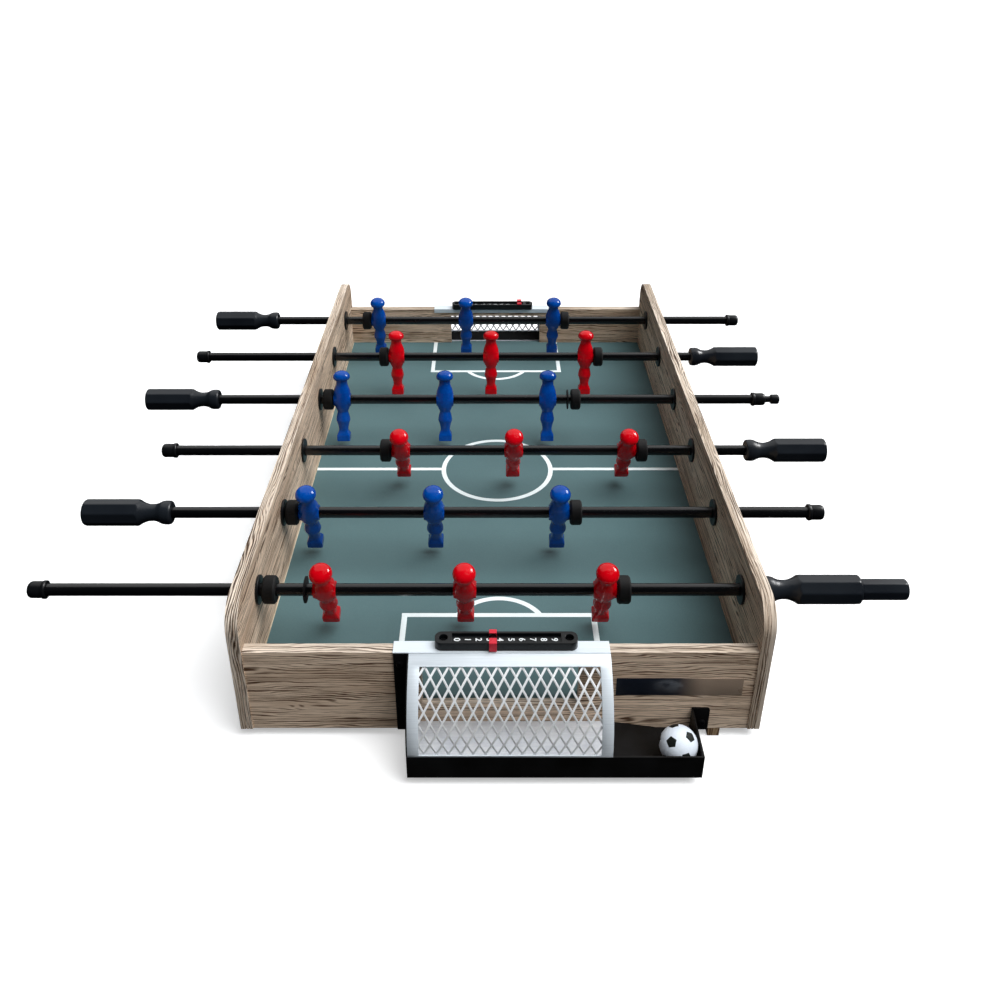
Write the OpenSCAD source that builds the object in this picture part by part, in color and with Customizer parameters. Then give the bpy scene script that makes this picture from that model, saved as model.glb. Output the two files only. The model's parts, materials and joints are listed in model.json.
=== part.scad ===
// Tabletop foosball table: a wooden cabinet, six playing rods, two goals with ball trays and two scorers.
// A loose ball lies in the near tray.
// The origin is the centre of the playing surface. X runs along the rods, Y from goal to goal, Z up.

/* [Cabinet] */
// Clear width between the side panels
inner_w = 368; // [360:1:380]
// Thickness of the side and end panels
board_t = 9; // [8:0.5:10]
// Length of the side panels
side_l = 610.4; // [606:0.2:620]
// Height of the side panels
side_h = 113; // [110:1:120]
// Radius of the top corners of the side panels
side_corner_r = 22; // [15:1:30]
// Height of the end panels
end_h = 75; // [74:1:78]
// How far the end panels sit behind the ends of the side panels
end_recess = 1; // [0.5:0.5:2]
// Height of the playing surface above the bottom edge of the panels
field_h = 28.5; // [27:0.5:30]
// Thickness of the playing board
field_t = 3; // [3:0.5:4]
// Width of the goal mouth
goal_w = 114; // [100:1:120]
// Height of the goal mouth above the playing surface
goal_h = 37.5; // [36:0.5:38]
// Height of the wooden feet
foot_h = 8; // [6:1:12]

/* [Rods] */
// Distance from one rod to the next
rod_pitch = 98.3; // [97:0.1:99]
// Height of the rods above the playing surface
rod_h = 53.7; // [52:0.1:55]
// Diameter of the steel tubes
rod_d = 9.5; // [9:0.1:10]
// Wall thickness of the steel tubes
rod_wall = 1; // [0.8:0.1:1.5]
// Distance from the middle player to the end of the cap
cap_reach = 332; // [325:1:340]
// Distance between the players on a rod
man_pitch = 106.5; // [104:0.1:110]
// Length of the handles
handle_l = 75; // [72:0.5:80]
// Width of the octagonal part of the handles, over its flats
handle_w = 21.5; // [18:0.5:24]
// Width of a rubber bumper along its rod
bumper_w = 9.6; // [8:0.2:11]
// Diameter of the rubber bumpers
bumper_d = 21.5; // [20:0.5:23]

/* [Goals] */
// Width of the silver hood over the goal
hood_w = 143; // [138:1:146]
// Where the middle of the hood lies to the right of the goal mouth
hood_offset = 6.5; // [4:0.5:8]
// Thickness of the goal's sheet metal
sheet_t = 1; // [0.8:0.1:1.2]
// How far the ball tray stands out from the end panel
tray_d = 43.5; // [42:0.5:46]
// Height of the walls of the ball tray
tray_h = 20.5; // [19:0.5:22]
// Outer radius of the hood's curve
hood_r = 57.3; // [56.5:0.1:58]
// Distance from the goal's centre to the right end of the tray
tray_reach = 142; // [140:1:144]
// Diameter of the ball
ball_d = 27.5; // [26.5:0.5:30]

/* [Scorers] */
// Length of the scorer bar
scorer_l = 102; // [98:1:104]
// Depth of the scorer bar
scorer_d = 12.5; // [12:0.1:13]
// Height of the scorer bar
scorer_h = 7; // [6.5:0.1:8]
// Distance from one digit to the next
digit_pitch = 7.74; // [7.6:0.02:7.9]
// Score shown at the near end, with 3.3 a little past three
near_score = 3.3; // [0:0.1:9]
// Score shown at the far end
far_score = 0.1; // [0:0.1:9]

/* [Hidden] */
RODS = [1, 2, 3, 4, 5, 6];
// How far each rod is pushed to the right from its middle position
rod_shift = [-26.6, -55, 15, -54, -6.1, -36.6];
// How far each rod is turned, with the heads towards the near end when positive
rod_turn = [22, 17, 29, -11, -5, 7.5];
// Side on which each rod has its handle: 1 is right and -1 is left
handle_side = [1, -1, 1, -1, 1, -1];
// Distance from the middle player to the thin washers on rods 1 and 4, negative to the left
washer_places = [-121.4, 126.6];
// Distance from the middle player to the outer end of each handle
handle_reach = [300, 298.4, 293.6, 308.9, 299.5, 303.8];

panel_z = -field_h;
ground_z = panel_z - foot_h;
side_x = inner_w / 2;
end_y = side_l / 2 - end_recess;
end_top = panel_z + end_h;
sill_z = -field_t;
groove_depth = 3;
field_rebate = 1.5;
edge_line_w = 0.7;
edge_line_depth = 0.5;
run_gap = 0.05;
rod_r = rod_d / 2;
bore_r = rod_r + run_gap;
sleeve_r = 6.5;
sleeve_gap = 0.05;
groove_h = field_t - field_rebate + 2 * sleeve_gap;
flange_r = 11.35;
flange_t = 2;
ring_t = 2;
ring_r = 9.5;
man_hub_w = 17.6;
man_hub_r = 7.2;
stop_offset = man_pitch + man_hub_w / 2 + 0.3;
cap_l = 14;
cap_r = 6.5;
cap_seat = 11;
tray_z = panel_z - 0.4;
tray_top = tray_z + tray_h;
tray_wall = 1.2;
hood_left = hood_offset - hood_w / 2;
hood_right = hood_offset + hood_w / 2;
hood_frame = 8;
plate_left = hood_left - 11.5;
plate_top = end_top + sheet_t;
window_top_angle = 65;
window_low_angle = 1.5;
hood_top_angle = acos((hood_r - tray_d + 1) / hood_r);
net_t = 0.8;
floor_high = 7;
floor_step_x = 84;
floor_low_x = 116;
floor_end = 1.4;
scorer_x = 4.2;
scorer_front = 0.5;
scorer_z = plate_top;
window_x0 = -34.7;
window_l = 78;
recess_depth = 2.2;
digit_zero_x = -30.9;
marker_w = 5.5;
scorer_screw_x = [-40.7, 49.2];
goal_screw_x = -71.9;
goal_screw_z = [24, 65];
tab_w = 13.5;
tab_screw_x = 149.2;
tab_screw_z = 7.4;
panel_screw_z = [18, 56];
screw_r = 1.5;
smooth = 96;

function rod_y(n) = (n - 3.5) * rod_pitch;
function is_red(n) = n == 1 || n == 3 || n == 5;

// Lays a shape drawn in the YZ plane along X
module along_x(length) {
    rotate([90, 0, 90])
        linear_extrude(length)
            children();
}

// A round bar or hole along X
module bar_x(r, length) {
    rotate([0, 90, 0])
        cylinder(r = r, h = length, $fn = smooth);
}

// Places a shape made for the near end at the far end
module far_end() {
    rotate([0, 0, 180])
        children();
}

// Places a shape drawn in outward distance and height against the near end panel
module outward(x0, length) {
    translate([x0, 0, 0])
        rotate([90, 0, 90])
            linear_extrude(length)
                mirror([1, 0])
                    translate([end_y, 0])
                        children();
}

// ---------- cabinet ----------

// Outline of a side panel in length and height, set in from its front, top and back edges
module side_outline(inset) {
    r = side_corner_r;
    translate([-side_l / 2 + inset, 0])
        square([side_l - 2 * inset, side_h - r]);
    translate([-side_l / 2 + r, 0])
        square([side_l - 2 * r, side_h - inset]);
    for (end = [-1, 1])
        translate([end * (side_l / 2 - r), side_h - r])
            circle(r = r - inset, $fn = smooth);
}

// A side panel whose inner face lies at X = 0 and whose outer face lies at X = board_t
module side_panel() {
    first_line = board_t * 0.25;
    second_line = board_t * 0.5;
    difference() {
        translate([0, 0, panel_z])
            union() {
                along_x(board_t)
                    side_outline(edge_line_depth);
                along_x(first_line)
                    side_outline(0);
                translate([first_line + edge_line_w, 0, 0])
                    along_x(second_line - first_line - edge_line_w)
                        side_outline(0);
                translate([second_line + edge_line_w, 0, 0])
                    along_x(board_t - second_line - edge_line_w)
                        side_outline(0);
            }
        for (n = RODS)
            translate([-1, rod_y(n), rod_h])
                bar_x(sleeve_r + sleeve_gap, board_t + 2);
        translate([-1, -end_y + board_t, -field_t - sleeve_gap])
            cube([1 + groove_depth + sleeve_gap, 2 * (end_y - board_t), groove_h]);
        for (end = [-1, 1], height = panel_screw_z)
            translate([0, end * (end_y - board_t / 2), panel_z + height]) {
                translate([-1, 0, 0])
                    bar_x(screw_r + run_gap, board_t + 2);
                translate([board_t - 2.2, 0, 0])
                    bar_x(3.6, 4);
            }
    }
}

module side_panel_left() {
    color("#8a7c6c")
        translate([-side_x, 0, 0])
            rotate([0, 0, 180])
                side_panel();
}

module side_panel_right() {
    color("#8a7c6c")
        translate([side_x, 0, 0])
            side_panel();
}

// The near end panel, with its goal mouth and its pilot holes
module end_panel() {
    difference() {
        translate([-side_x, -end_y, panel_z])
            cube([inner_w, board_t, end_h]);
        translate([-goal_w / 2, -end_y - 1, sill_z])
            cube([goal_w, board_t + 2, goal_h + field_t]);
        for (side = [-1, 1], height = panel_screw_z)
            translate([side > 0 ? side_x - 24 : -side_x - 1, -end_y + board_t / 2, panel_z + height])
                bar_x(screw_r, 25);
        for (x = scorer_screw_x)
            translate([x, -end_y + scorer_front + scorer_d / 2, end_top - 7])
                cylinder(r = screw_r, h = 8, $fn = smooth);
        goal_pilot_holes();
    }
}

module goal_pilot_holes() {
    for (height = goal_screw_z)
        translate([goal_screw_x, -end_y - 1, panel_z + height])
            rotate([-90, 0, 0])
                cylinder(r = screw_r, h = 8, $fn = smooth);
    translate([tab_screw_x, -end_y - 1, panel_z + tab_screw_z])
        rotate([-90, 0, 0])
            cylinder(r = screw_r, h = 8, $fn = smooth);
}

module end_panel_near() {
    color("#8a7c6c")
        end_panel();
}

module end_panel_far() {
    color("#8a7c6c")
        far_end()
            end_panel();
}

// The playing board: rebated edges in grooves in the side panels, and a tongue in each goal mouth
module playfield() {
    tongue_w = goal_w - 1;
    tongue_l = 4;
    side_gap = 0.1;
    inner_l = 2 * (end_y - board_t);
    color("#5a7577") {
        translate([-side_x + side_gap, -inner_l / 2, -field_t])
            cube([inner_w - 2 * side_gap, inner_l, field_t]);
        translate([-side_x - groove_depth, -inner_l / 2, -field_t])
            cube([inner_w + 2 * groove_depth, inner_l, field_t - field_rebate]);
        translate([-tongue_w / 2, -inner_l / 2 - tongue_l, -field_t])
            cube([tongue_w, inner_l + 2 * tongue_l, field_t]);
    }
}

// One foot under each end panel and one under each side panel, so that the table stands on four corners
module feet() {
    foot_w = 9;
    color("#8a6f52")
        for (turn = [0, 180])
            rotate([0, 0, turn]) {
                translate([155, -end_y, ground_z])
                    cube([foot_w, board_t, foot_h]);
                translate([-side_x - board_t, -end_y + 14, ground_z])
                    cube([board_t, foot_w, foot_h]);
            }
}

// ---------- bearings and fasteners of the cabinet ----------

module rod_bushings() {
    color("#1c1d1f")
        for (side = [-1, 1], n = RODS)
            translate([side * side_x, rod_y(n), rod_h])
                rotate([0, 0, side > 0 ? 0 : 180])
                    difference() {
                        union() {
                            translate([-flange_t, 0, 0])
                                bar_x(flange_r, flange_t);
                            bar_x(sleeve_r, board_t + ring_t);
                        }
                        translate([-flange_t - 1, 0, 0])
                            bar_x(bore_r, board_t + ring_t + flange_t + 2);
                    }
}

module bushing_rings() {
    color("#1c1d1f")
        for (side = [-1, 1], n = RODS)
            translate([side * (side_x + board_t), rod_y(n), rod_h])
                rotate([0, 0, side > 0 ? 0 : 180])
                    difference() {
                        bar_x(ring_r, ring_t);
                        translate([-1, 0, 0])
                            bar_x(sleeve_r + sleeve_gap, ring_t + 2);
                    }
}

module panel_screws() {
    color("#2a2a2a")
        for (side = [-1, 1], end = [-1, 1], height = panel_screw_z)
            translate([side * (side_x + board_t), end * (end_y - board_t / 2), panel_z + height])
                rotate([0, side > 0 ? -90 : 90, 0]) {
                    translate([0, 0, 0.4])
                        cylinder(r = 3.5, h = 1.8, $fn = smooth);
                    translate([0, 0, 1.9])
                        cylinder(r = screw_r, h = 28, $fn = smooth);
                }
}

// ---------- goals ----------

// A ring sector around the hood's centre of curvature, in outward distance and height
module hood_sector(outer_r, inner_r, low_angle, high_angle) {
    far = 2 * outer_r;
    translate([tray_d - hood_r, tray_top])
        intersection() {
            difference() {
                circle(r = outer_r, $fn = smooth * 2);
                circle(r = inner_r, $fn = smooth * 2);
            }
            polygon([
                [0, 0],
                [far * cos(low_angle), far * sin(low_angle)],
                [far * cos(high_angle), far * sin(high_angle)]
            ]);
        }
}

// The silver cover: a curved front with a window, a top plate and a lip behind the end panel
module goal_hood() {
    difference() {
        union() {
            outward(hood_left, hood_w)
                hood_sector(hood_r, hood_r - sheet_t, 0, hood_top_angle);
            outward(hood_left, hood_w)
                translate([-1, end_top])
                    square([2.2, sheet_t]);
            outward(plate_left, hood_right - plate_left)
                translate([-board_t - 1.5, end_top])
                    square([board_t + 2.5, sheet_t]);
            outward(plate_left, hood_right - plate_left)
                translate([-board_t - 1.5, end_top - 4])
                    square([sheet_t, 4.5]);
        }
        outward(hood_left + hood_frame, hood_w - 2 * hood_frame)
            hood_sector(hood_r + 2, hood_r - sheet_t - 2, window_low_angle, window_top_angle);
        for (x = scorer_screw_x)
            translate([x, -end_y + scorer_front + scorer_d / 2, end_top - 1])
                cylinder(r = screw_r + run_gap, h = 4, $fn = smooth);
    }
}

// The net: a curved sheet held behind the hood's window
module goal_net() {
    outward(hood_left + hood_frame - 2, hood_w - 2 * hood_frame + 4)
        hood_sector(hood_r - sheet_t, hood_r - sheet_t - net_t, window_low_angle - 1, window_top_angle + 2);
}

// Section of the tray's floor along X: high under the goal, then a ramp down to the ball's resting place
module floor_section(x0, x1, thickness) {
    polygon([
        [x0, floor_high],
        [floor_step_x, floor_high],
        [floor_low_x, floor_end],
        [x1, floor_end],
        [x1, floor_end - thickness],
        [floor_low_x, floor_end - thickness],
        [floor_step_x, floor_high - thickness],
        [x0, floor_high - thickness]
    ]);
}

// Runs a floor section out from the end panel by the given depth
module floor_run(depth) {
    translate([0, -end_y, tray_z])
        rotate([90, 0, 0])
            linear_extrude(depth)
                children();
}

// The black tray: left flange and cheek, front wall, right wall with its fixing tab, and the floor
module ball_tray() {
    cheek_x = hood_left - sheet_t;
    inner_d = tray_d - tray_wall;
    difference() {
        union() {
            outward(plate_left + 0.2, cheek_x + sheet_t - plate_left - 0.2)
                translate([0, tray_z])
                    square([sheet_t, end_top - tray_z - 0.6]);
            outward(cheek_x, sheet_t) {
                translate([0, tray_z])
                    square([tray_d, tray_h]);
                intersection() {
                    translate([0, tray_top - 0.5])
                        square([tray_d, end_top - tray_top - 0.1]);
                    translate([tray_d - hood_r, tray_top])
                        circle(r = hood_r - 0.1, $fn = smooth * 2);
                }
            }
            outward(cheek_x, tray_reach - cheek_x)
                translate([inner_d, tray_z])
                    square([tray_wall, tray_h]);
            outward(tray_reach - tray_wall, tray_wall)
                translate([0, tray_z])
                    square([tray_d, tray_h]);
            floor_run(tray_d - tray_wall / 2)
                floor_section(cheek_x + sheet_t / 2, tray_reach - tray_wall / 2, tray_wall);
            tray_tab();
        }
        goal_pilot_holes_clear();
    }
}

// The rounded tab that fixes the tray's right wall to the end panel
module tray_tab() {
    corner = 2.5;
    translate([tray_reach - tray_wall, -end_y, tray_z])
        rotate([90, 0, 0])
            linear_extrude(sheet_t) {
                square([tab_w - corner, tray_h + 1.5]);
                translate([0, corner])
                    square([tab_w, tray_h + 1.5 - 2 * corner]);
                for (z = [corner, tray_h + 1.5 - corner])
                    translate([tab_w - corner, z])
                        circle(r = corner, $fn = smooth);
            }
}

module goal_pilot_holes_clear() {
    clear_r = screw_r + run_gap;
    for (height = goal_screw_z)
        translate([goal_screw_x, -end_y - 3, panel_z + height])
            rotate([-90, 0, 0])
                cylinder(r = clear_r, h = 4, $fn = smooth);
    translate([tab_screw_x, -end_y - 3, panel_z + tab_screw_z])
        rotate([-90, 0, 0])
            cylinder(r = clear_r, h = 4, $fn = smooth);
}

// The silver sheet under the net that the ball drops onto
module goal_floor() {
    liner_t = 0.6;
    floor_run(tray_d - tray_wall)
        translate([hood_left, floor_high])
            square([hood_w - 2, liner_t]);
}

// Pan-head screws of one goal: two in the left flange and one in the tab
module one_goal_screws() {
    spots = concat([for (height = goal_screw_z) [goal_screw_x, height]], [[tab_screw_x, tab_screw_z]]);
    for (spot = spots)
        translate([spot[0], -end_y - sheet_t, panel_z + spot[1]])
            rotate([-90, 0, 0]) {
                translate([0, 0, -1.6])
                    cylinder(r1 = 2, r2 = 2.7, h = 1.6, $fn = smooth);
                translate([0, 0, -0.1])
                    cylinder(r = screw_r, h = 8, $fn = smooth);
            }
}

module near_goal_hood() {
    color("#dfe6ec")
        goal_hood();
}

module near_goal_net() {
    color("#e8e8e8")
        goal_net();
}

module near_ball_tray() {
    color("#121110")
        ball_tray();
}

module near_goal_floor() {
    color("#b4bac3")
        goal_floor();
}

module far_goal_hood() {
    color("#dfe6ec")
        far_end()
            goal_hood();
}

module far_goal_net() {
    color("#e8e8e8")
        far_end()
            goal_net();
}

module far_ball_tray() {
    color("#121110")
        far_end()
            ball_tray();
}

module far_goal_floor() {
    color("#b4bac3")
        far_end()
            goal_floor();
}

module goal_screws() {
    color("#202020") {
        one_goal_screws();
        far_end()
            one_goal_screws();
    }
}

module ball() {
    ball_r = ball_d / 2;
    reach = ball_r + 0.35;
    color("#e8eef4")
        translate([tray_reach - tray_wall, -end_y - tray_d + tray_wall, tray_z + floor_end])
            translate([-reach, reach, reach])
                sphere(r = ball_r, $fn = smooth);
}

// ---------- scorers ----------

// The black bar with rounded ends, a recessed number window and two screw holes
module scorer() {
    rail = 2.2;
    corner = 5;
    back_y = -end_y + scorer_front + scorer_d;
    x0 = scorer_x - scorer_l / 2;
    translate([0, 0, scorer_z])
        difference() {
            linear_extrude(scorer_h)
                translate([x0, back_y - scorer_d]) {
                    translate([corner, 0])
                        square([scorer_l - 2 * corner, scorer_d]);
                    translate([0, corner])
                        square([scorer_l, scorer_d - 2 * corner]);
                    for (x = [corner, scorer_l - corner], y = [corner, scorer_d - corner])
                        translate([x, y])
                            circle(r = corner, $fn = smooth);
                }
            translate([window_x0, back_y - scorer_d + rail, scorer_h - recess_depth])
                cube([window_l, scorer_d - 2 * rail, recess_depth + 1]);
            for (x = scorer_screw_x)
                translate([x, back_y - scorer_d / 2, 0]) {
                    translate([0, 0, -1])
                        cylinder(r = screw_r + run_gap, h = scorer_h + 2, $fn = smooth);
                    translate([0, 0, 3])
                        cylinder(r = 3.1, h = scorer_h, $fn = smooth);
                }
        }
}

// The red marker: a strip down the front rail, a strip over the back rail and a narrow bridge between them
module score_marker(score) {
    gap = 0.3;
    strip = 1.5;
    bridge_t = 1;
    bridge_w = 2.6;
    rail = 2.2;
    low_z = 1;
    top_z = scorer_h + gap;
    bridge_z = scorer_h - recess_depth + gap;
    hook_h = top_z + strip - bridge_z;
    back_hook_y = scorer_d - rail - gap - strip;
    x0 = digit_zero_x + score * digit_pitch - marker_w / 2;
    translate([x0, -end_y + scorer_front, scorer_z])
        along_x(marker_w) {
            translate([-gap - strip, low_z])
                square([strip, top_z + strip - low_z]);
            translate([-gap - strip, top_z])
                square([rail + 2 * (gap + strip), strip]);
            translate([rail + gap, bridge_z])
                square([strip, hook_h]);
            translate([back_hook_y, bridge_z])
                square([strip, hook_h]);
            translate([back_hook_y, top_z])
                square([strip + gap + rail, strip]);
        }
    translate([x0 + (marker_w - bridge_w) / 2, -end_y + scorer_front, scorer_z])
        along_x(bridge_w)
            translate([rail + gap, bridge_z])
                square([scorer_d - 2 * (rail + gap), bridge_t]);
}

module near_scorer() {
    color("#26292b")
        scorer();
}

module near_score_marker() {
    color("#c8283c")
        score_marker(near_score);
}

module far_scorer() {
    color("#26292b")
        far_end()
            scorer();
}

module far_score_marker() {
    color("#c8283c")
        far_end()
            score_marker(far_score);
}

module scorer_screws() {
    color("#202020")
        for (turn = [0, 180])
            rotate([0, 0, turn])
                for (x = scorer_screw_x)
                    translate([x, -end_y + scorer_front + scorer_d / 2, scorer_z + 3]) {
                        cylinder(r = 2.8, h = 1.6, $fn = smooth);
                        translate([0, 0, -8])
                            cylinder(r = screw_r, h = 8.1, $fn = smooth);
                    }
}

// ---------- rods ----------

// Places a shape made about a rod's axis and middle player, turned with the rod or not
module on_rod(n, turned = true) {
    translate([rod_shift[n - 1], rod_y(n), rod_h])
        rotate([turned ? rod_turn[n - 1] : 0, 0, 0])
            children();
}

// Points a shape made for the right end of a rod at its handle end or its cap end
module toward(side) {
    rotate([0, 0, side > 0 ? 0 : 180])
        children();
}

module rod_tube(n) {
    handle_end = handle_reach[n - 1] - 4;
    cap_end = cap_reach - 3;
    color("#2b2d31")
        on_rod(n)
            toward(handle_side[n - 1])
                difference() {
                    translate([-cap_end, 0, 0])
                        bar_x(rod_r, cap_end + handle_end);
                    translate([-cap_end - 1, 0, 0])
                        bar_x(rod_r - rod_wall, cap_end + handle_end + 2);
                }
}

// One player standing on the rod's axis, head up and facing the near end
module man() {
    head_top = 30.5;
    rim_z = 23.8;
    rim_r = 8.4;
    dome_r = (pow(rim_r, 2) + pow(head_top - rim_z, 2)) / (2 * (head_top - rim_z));
    neck_z = 15.3;
    chest_z = 7.5;
    belly_z = -4;
    waist_z = -12.6;
    knee_z = -21.5;
    knee_rim_z = -23;
    instep_z = -33.5;
    foot_z = -38;
    instep_w = 10.4;
    instep_d = 8.4;
    sole_z = -44.5;
    foot_w = 13.4;
    foot_d = 11;
    difference() {
        union() {
            intersection() {
                translate([0, 0, head_top - dome_r])
                    sphere(r = dome_r, $fn = smooth);
                translate([0, 0, rim_z])
                    cylinder(r = dome_r * 2, h = 10, $fn = smooth);
            }
            translate([0, 0, neck_z])
                cylinder(r1 = 5.4, r2 = 6.3, h = rim_z - neck_z, $fn = smooth);
            translate([0, 0, chest_z])
                cylinder(r1 = 8.1, r2 = 5.3, h = neck_z - chest_z, $fn = smooth);
            translate([0, 0, belly_z])
                cylinder(r = 8.1, h = chest_z - belly_z, $fn = smooth);
            translate([0, 0, waist_z])
                cylinder(r1 = 5, r2 = 8.1, h = belly_z - waist_z, $fn = smooth);
            translate([0, 0, knee_z])
                cylinder(r1 = 7, r2 = 5.6, h = waist_z - knee_z, $fn = smooth);
            translate([0, 0, knee_rim_z])
                cylinder(r = 7, h = knee_z - knee_rim_z, $fn = smooth);
            translate([0, 0, instep_z])
                cylinder(r1 = 4.7, r2 = 6, h = knee_rim_z - instep_z, $fn = smooth);
            translate([-instep_w / 2, -instep_d / 2, foot_z])
                cube([instep_w, instep_d, instep_z - foot_z]);
            translate([-foot_w / 2, -foot_d / 2, sole_z])
                cube([foot_w, foot_d, foot_z - sole_z]);
            translate([-man_hub_w / 2, 0, 0])
                bar_x(man_hub_r, man_hub_w);
        }
        translate([-man_hub_w, 0, 0])
            bar_x(rod_r, 2 * man_hub_w);
    }
}

module rod_men(n) {
    color(is_red(n) ? "#d81e34" : "#1450b4")
        on_rod(n)
            for (place = [-1, 0, 1])
                translate([place * man_pitch, 0, 0])
                    man();
}

// An octagonal grip with a concave neck and a round collar, along +X from its inner end
module handle() {
    collar_l = 10.5;
    collar_r = 10;
    neck_r = 7.2;
    neck_end = 19;
    grip_start = 29;
    flare_r = corner_radius(handle_w) + 1;
    difference() {
        intersection() {
            union() {
                rotate([0, 90, 0])
                    cylinder(r1 = collar_r - 1.5, r2 = collar_r, h = 1.5, $fn = smooth);
                translate([1.5, 0, 0])
                    bar_x(collar_r, collar_l - 3.5);
                translate([collar_l - 2, 0, 0])
                    rotate([0, 90, 0])
                        cylinder(r1 = collar_r, r2 = neck_r, h = 5, $fn = smooth);
                translate([collar_l, 0, 0])
                    bar_x(neck_r, neck_end - collar_l);
                translate([neck_end, 0, 0])
                    rotate([0, 90, 0])
                        cylinder(r1 = neck_r, r2 = flare_r, h = grip_start - neck_end, $fn = smooth);
                translate([grip_start, 0, 0])
                    round_ended(handle_w, handle_l - grip_start);
            }
            octagon_bar(handle_w, handle_l);
        }
        translate([-1, 0, 0])
            bar_x(rod_r, handle_l - 3);
    }
}

// Radius of an octagon over its corners, from its width over its flats
function corner_radius(width) = width / 2 / cos(22.5);

// An octagonal bar along X
module octagon_bar(width, length) {
    rotate([22.5, 0, 0])
        rotate([0, 90, 0])
            cylinder(r = corner_radius(width), h = length, $fn = 8);
}

// A round bar just wider than an octagon, whose far end tapers in to trim the octagon's corners
module round_ended(width, length) {
    taper = 3;
    r = corner_radius(width) + 1;
    bar_x(r, length - taper);
    translate([length - taper, 0, 0])
        rotate([0, 90, 0])
            cylinder(r1 = r, r2 = r - taper - 1, h = taper, $fn = smooth);
}

module rod_handle(n) {
    color("#2c3035")
        on_rod(n)
            toward(handle_side[n - 1])
                translate([handle_reach[n - 1] - handle_l, 0, 0])
                    handle();
}

// A rubber cap pushed over the tube's end, with a lip at its mouth and a domed end
module rod_end_cap(n) {
    lip = 3;
    dome = 2.5;
    color("#191a1c")
        on_rod(n)
            toward(-handle_side[n - 1])
                translate([cap_reach - cap_l, 0, 0])
                    difference() {
                        union() {
                            bar_x(cap_r + 0.5, lip);
                            bar_x(cap_r, cap_l - dome);
                            translate([cap_l - dome, 0, 0])
                                rotate([0, 90, 0])
                                    cylinder(r1 = cap_r, r2 = cap_r - dome, h = dome, $fn = smooth);
                        }
                        translate([-1, 0, 0])
                            bar_x(rod_r, cap_seat + 1);
                    }
}

// A rubber ring with bevelled edges whose left face lies at X = 0
module bumper() {
    bevel = 1.2;
    r = bumper_d / 2;
    difference() {
        union() {
            rotate([0, 90, 0])
                cylinder(r1 = r - bevel, r2 = r, h = bevel, $fn = smooth);
            translate([bevel, 0, 0])
                bar_x(r, bumper_w - 2 * bevel);
            translate([bumper_w - bevel, 0, 0])
                rotate([0, 90, 0])
                    cylinder(r1 = r, r2 = r - bevel, h = bevel, $fn = smooth);
        }
        translate([-1, 0, 0])
            bar_x(bore_r, bumper_w + 2);
    }
}

// Bumpers against the outer players; rod 1 keeps only its right one and rod 4's right one is loose
module rod_bumpers(n) {
    gap = 0.3;
    slack = n == 4 ? 14.6 : 0;
    color("#17181a")
        on_rod(n, turned = false) {
            if (n > 1)
                translate([-stop_offset - gap - bumper_w, 0, 0])
                    bumper();
            translate([stop_offset + gap + slack, 0, 0])
                bumper();
        }
}

// Rod 1's left bumper has slid away from the player and rests near the wall
module rod1_loose_bumper() {
    wall_gap = 2.6;
    color("#17181a")
        translate([-side_x + flange_t + wall_gap, rod_y(1), rod_h])
            bumper();
}

// A thin ring on a rod, at a distance from the middle player
module rod_washer(n, place) {
    washer_t = 1;
    color("#17181a")
        on_rod(n, turned = false)
            translate([place, 0, 0])
                difference() {
                    bar_x(10.2, washer_t);
                    translate([-1, 0, 0])
                        bar_x(bore_r, washer_t + 2);
                }
}

// A slim octagonal grip on the end of rod 1's handle
module rod1_handle_tip() {
    tip_l = 36;
    tip_w = 15.5;
    color("#2c3035")
        on_rod(1)
            translate([handle_reach[0], 0, 0])
                intersection() {
                    round_ended(tip_w, tip_l);
                    octagon_bar(tip_w, tip_l);
                }
}

// A small knob on a short stub at the capped end of rod 4
module rod4_end_knob() {
    stub_l = 5.8;
    knob_l = 8.6;
    knob_r = 5;
    bevel = 1;
    color("#191a1c")
        on_rod(4)
            translate([cap_reach, 0, 0]) {
                bar_x(3.3, stub_l);
                translate([stub_l, 0, 0])
                    bar_x(knob_r, knob_l - bevel);
                translate([stub_l + knob_l - bevel, 0, 0])
                    rotate([0, 90, 0])
                        cylinder(r1 = knob_r, r2 = knob_r - bevel, h = bevel, $fn = smooth);
            }
}

side_panel_left();
side_panel_right();
end_panel_near();
end_panel_far();
playfield();
feet();
rod_bushings();
bushing_rings();
panel_screws();
near_goal_hood();
near_goal_net();
near_ball_tray();
near_goal_floor();
far_goal_hood();
far_goal_net();
far_ball_tray();
far_goal_floor();
goal_screws();
near_scorer();
near_score_marker();
far_scorer();
far_score_marker();
scorer_screws();
ball();
for (n = RODS)
    rod_tube(n);
for (n = RODS)
    rod_men(n);
for (n = RODS)
    rod_handle(n);
for (n = RODS)
    rod_end_cap(n);
for (n = RODS)
    rod_bumpers(n);
rod1_loose_bumper();
rod_washer(1, washer_places[0]);  // rod1_washer
rod1_handle_tip();
rod_washer(4, washer_places[1]);  // rod4_washer
rod4_end_knob();
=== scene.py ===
"""The looks of a tabletop foosball table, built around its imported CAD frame. Lengths are in metres."""

import json
import math

import bmesh
import bpy
import numpy as np
from mathutils import Matrix, Vector


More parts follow.
